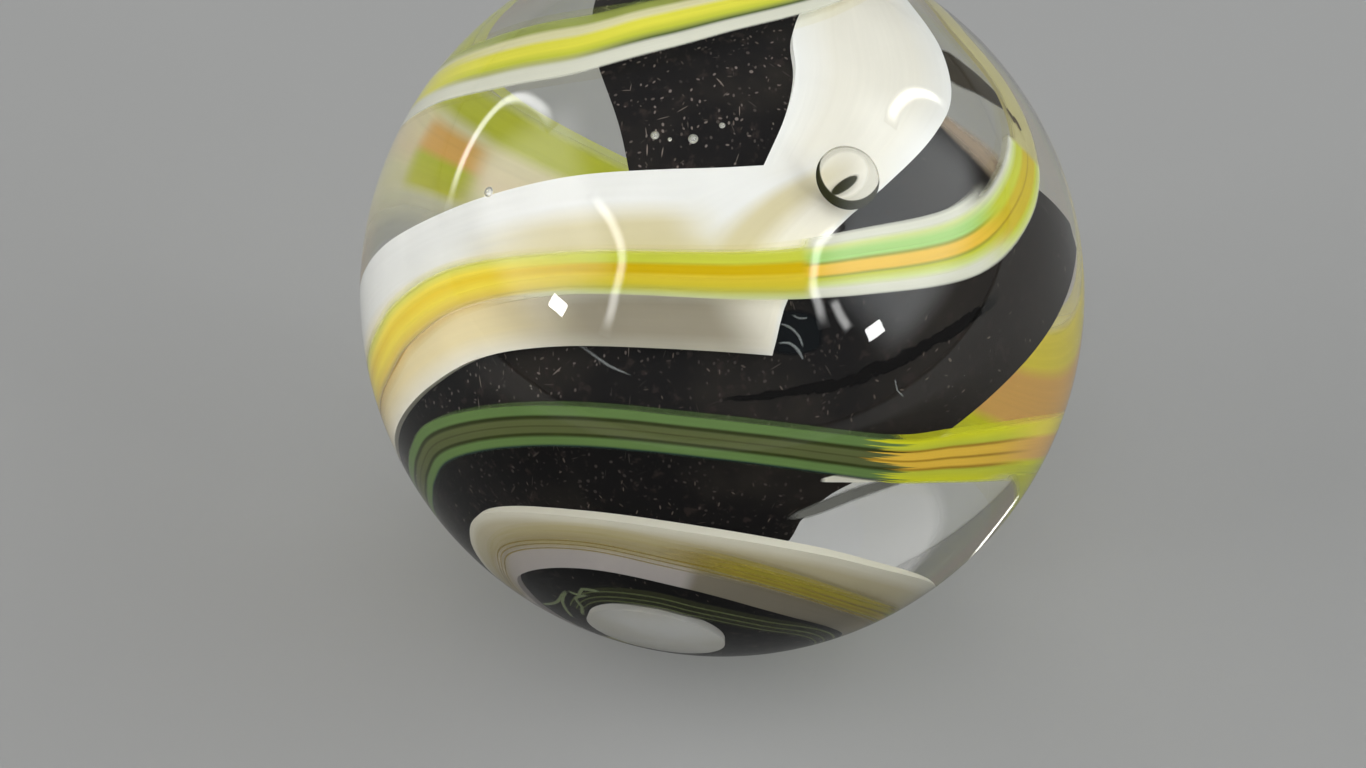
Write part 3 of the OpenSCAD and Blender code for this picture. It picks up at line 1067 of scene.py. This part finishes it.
def soft_lamp(name, azimuth, elevation, distance, width, height, radiance, colour=(1, 1, 1)):
    """An area lamp that shines at the ball from a direction in degrees, +X towards +Y."""
    data = bpy.data.lights.new(name, "AREA")
    data.shape = "RECTANGLE"
    data.size = width
    data.size_y = height
    data.energy = radiance * width * height * math.pi
    data.color = colour
    lamp = bpy.data.objects.new(name, data)
    bpy.context.scene.collection.objects.link(lamp)
    lamp.location = direction(azimuth, elevation) * distance
    lamp.rotation_euler = (-lamp.location).to_track_quat("-Z", "Y").to_euler()
    return lamp


def soft_edges(lamp, edge):
    """Lets a lamp's light fade towards its edges, over a share of its width."""
    lamp.data.use_nodes = True
    tree = lamp.data.node_tree
    parts = node(tree, "ShaderNodeSeparateXYZ")
    tree.links.new(node(tree, "ShaderNodeNewGeometry").outputs["Parametric"], parts.inputs[0])
    strength = times(
        tree, faded(tree, parts.outputs["X"], edge), faded(tree, parts.outputs["Y"], edge)
    )
    tree.links.new(strength, tree.nodes["Emission"].inputs["Strength"])


def rim_material():
    """The glow of the softboxes' rims, soft at the edges and the ends."""
    material, tree, principled = new_material("glow")
    principled.inputs["Emission Color"].default_value = (1, 1, 0.98, 1)
    side, along = strip_places(tree)
    strength = times(tree, faded(tree, side, 0.4), faded(tree, along, 0.2), RIM_GLOW)
    tree.links.new(strength, principled.inputs["Emission Strength"])
    material.cycles.emission_sampling = "NONE"
    return material


def bright_rim(name, corners, material):
    """A thin glowing strip along the edge of a softbox."""
    places = run(corners) + [corners[-1]]
    dirs = [direction(*place) for place in places]
    deselect_all()
    bpy.ops.mesh.primitive_grid_add(x_subdivisions=1, y_subdivisions=len(dirs) - 1, size=1)
    strip = bpy.context.object
    strip.name = name
    for number, vertex in enumerate(strip.data.vertices):
        row, column = divmod(number, 2)
        ahead = dirs[min(row + 1, len(dirs) - 1)] - dirs[max(row - 1, 0)]
        aside = ahead.cross(dirs[row]).normalized() * RIM_WIDTH
        vertex.co = dirs[row] * RIM_DISTANCE + aside * (0.5 - column)
    strip.data.materials.append(material)
    strip.visible_camera = False
    strip.visible_diffuse = False


def dark_card():
    """A dark round card on the floor, which is seen only in the gloss of the glass."""
    deselect_all()
    bpy.ops.mesh.primitive_circle_add(
        vertices=96, radius=CARD_REACH, fill_type="NGON", location=CARD_PLACE
    )
    card = bpy.context.object
    card.name = "dark_card"
    material, tree, principled = new_material("dark_card")
    principled.inputs["Base Color"].default_value = (*tone(0.2, 0.2, 0.2), 1)
    principled.inputs["Roughness"].default_value = 0.9
    away = vector_maths(tree, "LENGTH", object_places(tree))
    let_through(tree, principled, slope(tree, away, CARD_REACH, CARD_REACH * 0.6))
    card.data.materials.append(material)
    for ray in ("camera", "diffuse", "transmission", "shadow"):
        setattr(card, f"visible_{ray}", False)


def make_camera():
    sizes = bpy.context.scene.marble_sizes
    data = bpy.data.cameras.new("camera")
    camera = bpy.data.objects.new("camera", data)
    bpy.context.scene.collection.objects.link(camera)
    away = sizes.camera_distance / BALL_RADIUS
    pixels = PHOTO_RADIUS * math.sqrt(away ** 2 - 1)
    data.sensor_width = SENSOR_WIDTH
    data.lens = pixels * SENSOR_WIDTH / PHOTO_SIZE[0]
    data.clip_start = 0.01
    camera.location = direction(-90, math.degrees(sizes.camera_elevation)) * sizes.camera_distance
    aside = math.atan((PHOTO_CENTRE[0] - PHOTO_SIZE[0] / 2) / pixels)
    above = math.atan((PHOTO_SIZE[1] / 2 - PHOTO_CENTRE[1]) / pixels)
    level = Matrix.Rotation(math.pi / 2 - sizes.camera_elevation, 3, "X")
    turn = level @ Matrix.Rotation(aside, 3, "Y") @ Matrix.Rotation(-above, 3, "X")
    camera.rotation_euler = turn.to_euler()
    bpy.context.scene.camera = camera


class MARBLE_OT_stage(bpy.types.Operator):
    """Make the floor, the lamps, the world and the camera"""

    bl_idname = "marble.stage"
    bl_label = "Stage"

    def execute(self, context):
        sizes, colours = context.scene.marble_sizes, context.scene.marble_colours
        deselect_all()
        bpy.ops.mesh.primitive_plane_add(size=sizes.floor_size, location=(0, 0, -BALL_RADIUS))
        floor = context.object
        floor.name = "floor"
        material, _, principled = new_material("floor")
        principled.inputs["Base Color"].default_value = (*colours.floor, 1)
        principled.inputs["Roughness"].default_value = 0.9
        principled.inputs["Specular IOR Level"].default_value = 0.1
        floor.data.materials.append(material)
        world = bpy.data.worlds.new("world")
        world.use_nodes = True
        sky = world.node_tree.nodes["Background"]
        sky.inputs["Color"].default_value = (0.97, 0.98, 1.0, 1)
        sky.inputs["Strength"].default_value = 0.18
        context.scene.world = world
        cool = (0.94, 0.98, 1.0)
        left = soft_lamp("left_softbox", -176, 33, 0.6, 0.8, 0.48, BOX_LIGHT)
        right = soft_lamp("right_softbox", -4, 33, 0.6, 0.94, 0.54, BOX_LIGHT, cool)
        soft_edges(left, BOX_EDGE)
        soft_edges(right, BOX_EDGE)
        fill = soft_lamp("fill", -90, 70, 0.7, 0.5, 0.5, FILL_LIGHT)
        fill.visible_glossy = False
        glow = rim_material()
        for name, corners in BRIGHT_RIMS.items():
            bright_rim(name, corners, glow)
        dark_card()
        soft_lamp("left_square", -148.7, 23.8, 0.5, 0.05, 0.035, SQUARE_LIGHT)
        soft_lamp("right_square", -38.5, 19.9, 0.5, 0.05, 0.035, SQUARE_LIGHT)
        make_camera()
        context.scene.view_settings.view_transform = "Standard"
        context.scene.cycles.transparent_max_bounces = 16
        return {"FINISHED"}


class MARBLE_PT_panel(bpy.types.Panel):
    """Lists the marble's operators and settings"""

    bl_label = "Marble"
    bl_idname = "MARBLE_PT_panel"
    bl_space_type = "VIEW_3D"
    bl_region_type = "UI"
    bl_category = "Marble"

    def draw(self, context):
        for operator in OPERATORS:
            self.layout.operator(operator.bl_idname)
        for group in (context.scene.marble_sizes, context.scene.marble_colours):
            for name in group.__annotations__:
                self.layout.prop(group, name)


OPERATORS = (
    MARBLE_OT_stage, MARBLE_OT_clear_glass, MARBLE_OT_ribbons, MARBLE_OT_amber_band,
    MARBLE_OT_green_band, MARBLE_OT_wisps,
)
CLASSES = (MarbleSizes, MarbleColours, *OPERATORS, MARBLE_PT_panel)


def register():
    for made in CLASSES:
        bpy.utils.register_class(made)
    bpy.types.Scene.marble_sizes = PointerProperty(type=MarbleSizes)
    bpy.types.Scene.marble_colours = PointerProperty(type=MarbleColours)


def unregister():
    del bpy.types.Scene.marble_colours
    del bpy.types.Scene.marble_sizes
    for made in reversed(CLASSES):
        bpy.utils.unregister_class(made)


def main():
    register()
    bpy.ops.marble.stage()
    bpy.ops.marble.clear_glass()
    bpy.ops.marble.ribbons()
    bpy.ops.marble.amber_band()
    bpy.ops.marble.green_band()
    bpy.ops.marble.wisps()


if __name__ == "__main__":
    main()
